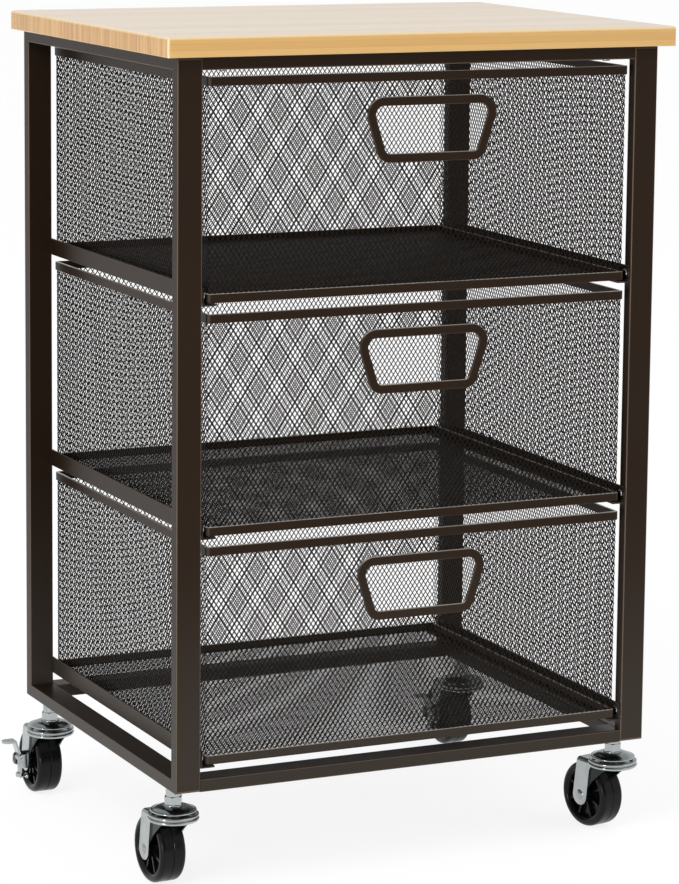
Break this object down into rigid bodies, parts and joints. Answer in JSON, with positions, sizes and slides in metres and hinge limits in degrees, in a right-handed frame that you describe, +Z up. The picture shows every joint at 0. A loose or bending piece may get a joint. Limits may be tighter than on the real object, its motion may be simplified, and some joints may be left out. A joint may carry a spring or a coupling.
{
  "type": "rolling drawer cart",
  "caption": "Upright rolling cart: flat-tube frame on swivel casters, mesh drawers with ring pulls sliding on angle runners, and a thick bamboo board on top.",
  "frame": {"origin": "on the floor under the middle of the cart's overall box, casters trailing to the rear", "axes": "+Z up, -Y to the front where the drawers pull out, +X to the right as seen from the front"},
  "size_m": [0.4136, 0.3364, 0.615],
  "materials": {
    "frame_coat": "dark bronze-brown powder coat, semi-gloss",
    "bamboo": "clear satin lacquer on laminated bamboo",
    "zinc": "bright zinc plating",
    "wheel_plastic": "glossy black"
  },
  "bodies": {
    "frame": {"bamboo_top": "bamboo", "board_screws": "zinc", "left_side_frame": "frame_coat", "right_side_frame": "frame_coat", "front_top_rail": "frame_coat", "rear_top_rail": "frame_coat", "front_bottom_rail": "frame_coat", "rear_bottom_rail": "frame_coat", "lower_left_runner": "frame_coat", "lower_right_runner": "frame_coat", "middle_left_runner": "frame_coat", "middle_right_runner": "frame_coat", "upper_left_runner": "frame_coat", "upper_right_runner": "frame_coat", "runner_screws": "zinc", "caster_nuts": "zinc", "front_left_stem": "zinc", "front_left_cover": "zinc", "front_right_stem": "zinc", "front_right_cover": "zinc", "rear_left_stem": "zinc", "rear_left_cover": "zinc", "rear_right_stem": "zinc", "rear_right_cover": "zinc"},
    "lower_drawer": {"lower_top_rim": "frame_coat", "lower_bottom_rim": "frame_coat", "lower_front_mesh": "frame_coat", "lower_rear_mesh": "frame_coat", "lower_side_meshes": "frame_coat", "lower_floor_mesh": "frame_coat", "lower_handle": "frame_coat"},
    "middle_drawer": {"middle_top_rim": "frame_coat", "middle_bottom_rim": "frame_coat", "middle_front_mesh": "frame_coat", "middle_rear_mesh": "frame_coat", "middle_side_meshes": "frame_coat", "middle_floor_mesh": "frame_coat", "middle_handle": "frame_coat"},
    "upper_drawer": {"upper_top_rim": "frame_coat", "upper_bottom_rim": "frame_coat", "upper_front_mesh": "frame_coat", "upper_rear_mesh": "frame_coat", "upper_side_meshes": "frame_coat", "upper_floor_mesh": "frame_coat", "upper_handle": "frame_coat"},
    "front_left_swivel": {"front_left_fork": "zinc", "front_left_axle": "zinc"},
    "front_left_roller": {"front_left_wheel": "wheel_plastic"},
    "front_right_swivel": {"front_right_fork": "zinc", "front_right_axle": "zinc"},
    "front_right_roller": {"front_right_wheel": "wheel_plastic"},
    "rear_left_swivel": {"rear_left_fork": "zinc", "rear_left_axle": "zinc"},
    "rear_left_roller": {"rear_left_wheel": "wheel_plastic"},
    "rear_left_lever": {"rear_left_brake": "zinc"},
    "rear_right_swivel": {"rear_right_fork": "zinc", "rear_right_axle": "zinc"},
    "rear_right_roller": {"rear_right_wheel": "wheel_plastic"},
    "rear_right_lever": {"rear_right_brake": "zinc"}
  },
  "joints": [
    {"name": "lower_drawer_slide", "type": "slide", "parent": "frame", "child": "lower_drawer", "axis": [0, -1, 0], "range_m": [0, 0.2]},
    {"name": "middle_drawer_slide", "type": "slide", "parent": "frame", "child": "middle_drawer", "axis": [0, -1, 0], "range_m": [0, 0.2]},
    {"name": "upper_drawer_slide", "type": "slide", "parent": "frame", "child": "upper_drawer", "axis": [0, -1, 0], "range_m": [0, 0.2]},
    {"name": "front_left_swivel", "type": "hinge", "parent": "frame", "child": "front_left_swivel", "pos_m": [-0.17475, -0.13225, 0.054], "axis": [0, 0, 1], "continuous": true},
    {"name": "front_left_wheel_turn", "type": "hinge", "parent": "front_left_swivel", "child": "front_left_roller", "pos_m": [-0.17593, -0.10978, 0.025], "axis": [0.9986, 0.0523, 0], "continuous": true},
    {"name": "front_right_swivel", "type": "hinge", "parent": "frame", "child": "front_right_swivel", "pos_m": [0.18625, -0.13225, 0.054], "axis": [0, 0, 1], "continuous": true},
    {"name": "front_right_wheel_turn", "type": "hinge", "parent": "front_right_swivel", "child": "front_right_roller", "pos_m": [0.18196, -0.11016, 0.025], "axis": [0.9816, 0.1908, 0], "continuous": true},
    {"name": "rear_left_swivel", "type": "hinge", "parent": "frame", "child": "rear_left_swivel", "pos_m": [-0.17475, 0.12075, 0.054], "axis": [0, 0, 1], "continuous": true},
    {"name": "rear_left_wheel_turn", "type": "hinge", "parent": "rear_left_swivel", "child": "rear_left_roller", "pos_m": [-0.17475, 0.14325, 0.025], "axis": [1, 0, 0], "continuous": true},
    {"name": "rear_left_brake_press", "type": "hinge", "parent": "rear_left_swivel", "child": "rear_left_lever", "pos_m": [-0.19205, 0.14325, 0.028], "axis": [0, -1, 0], "range_deg": [0, 10]},
    {"name": "rear_right_swivel", "type": "hinge", "parent": "frame", "child": "rear_right_swivel", "pos_m": [0.18625, 0.12075, 0.054], "axis": [0, 0, 1], "continuous": true},
    {"name": "rear_right_wheel_turn", "type": "hinge", "parent": "rear_right_swivel", "child": "rear_right_roller", "pos_m": [0.18625, 0.14325, 0.025], "axis": [1, 0, 0], "continuous": true},
    {"name": "rear_right_brake_press", "type": "hinge", "parent": "rear_right_swivel", "child": "rear_right_lever", "pos_m": [0.16895, 0.14325, 0.028], "axis": [0, -1, 0], "range_deg": [0, 10]}
  ]
}
